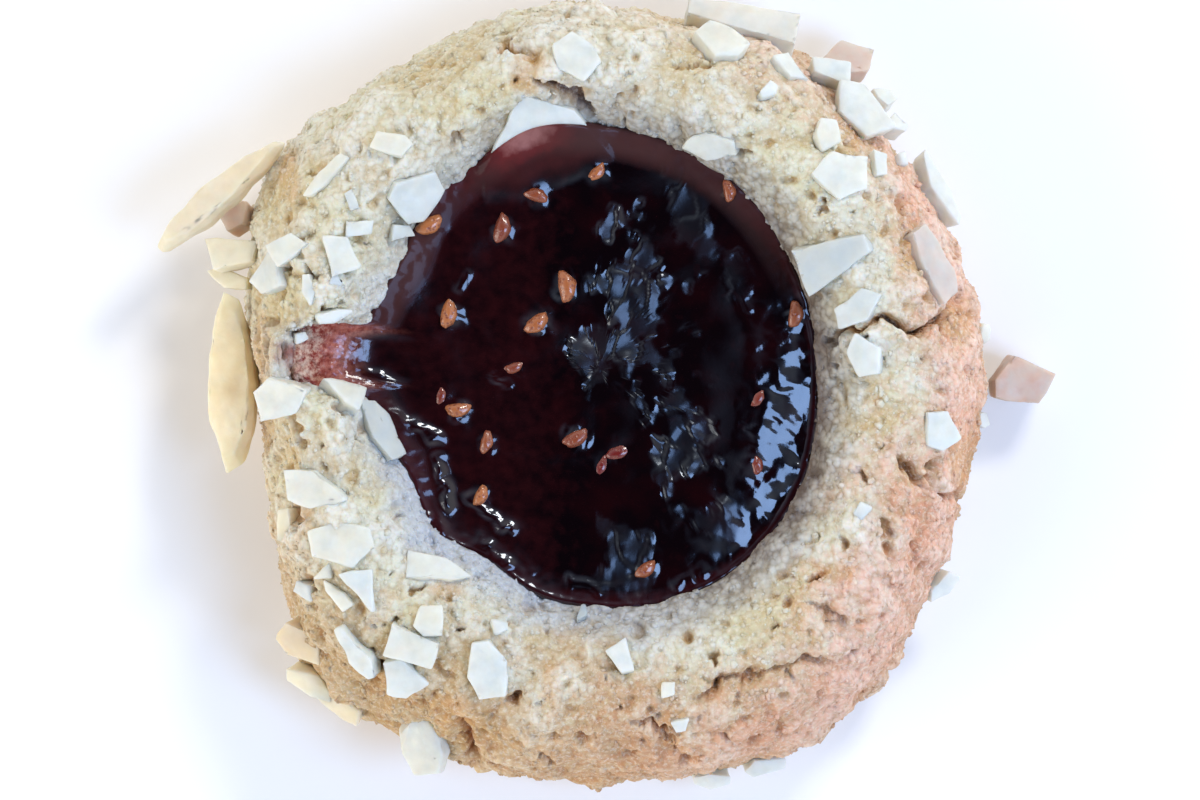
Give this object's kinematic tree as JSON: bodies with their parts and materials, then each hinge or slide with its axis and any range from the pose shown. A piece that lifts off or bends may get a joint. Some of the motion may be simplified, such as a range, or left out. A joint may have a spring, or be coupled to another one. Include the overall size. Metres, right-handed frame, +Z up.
{
  "type": "thumbprint cookie",
  "caption": "Round crumbly almond cookie, cracked and browned at its edge, with chopped almonds pressed into it and a well of seedy dark berry jam.",
  "frame": {"origin": "centre of the flat underside of the dough, on the surface it rests on", "axes": "+Z up, out of the jam; +X to the right and +Y to the top of the cookie as the picture shows it from above"},
  "size_m": [0.0677, 0.0597, 0.0174],
  "materials": {
    "dough": "matt baked crumb, cream to golden brown",
    "jam": "wet gloss, very dark red",
    "almond": "satin, cream white"
  },
  "bodies": {
    "root": {"almond_block_bottom": "almond", "almond_block_left": "almond", "almond_block_top_right": "almond", "almond_chip_06": "almond", "almond_chip_15": "almond", "almond_chip_16": "almond", "almond_chip_17": "almond", "almond_chip_22": "almond", "almond_chip_26": "almond", "almond_chip_28": "almond", "almond_chip_39": "almond", "almond_chip_42": "almond", "almond_chunk_right": "almond", "almond_flake_right": "almond", "almond_flake_top": "almond", "almond_slab_top": "almond", "almond_sliver_left": "almond", "almond_sliver_upper_left": "almond", "dough": "dough", "jam": "jam"}
  },
  "joints": []
}
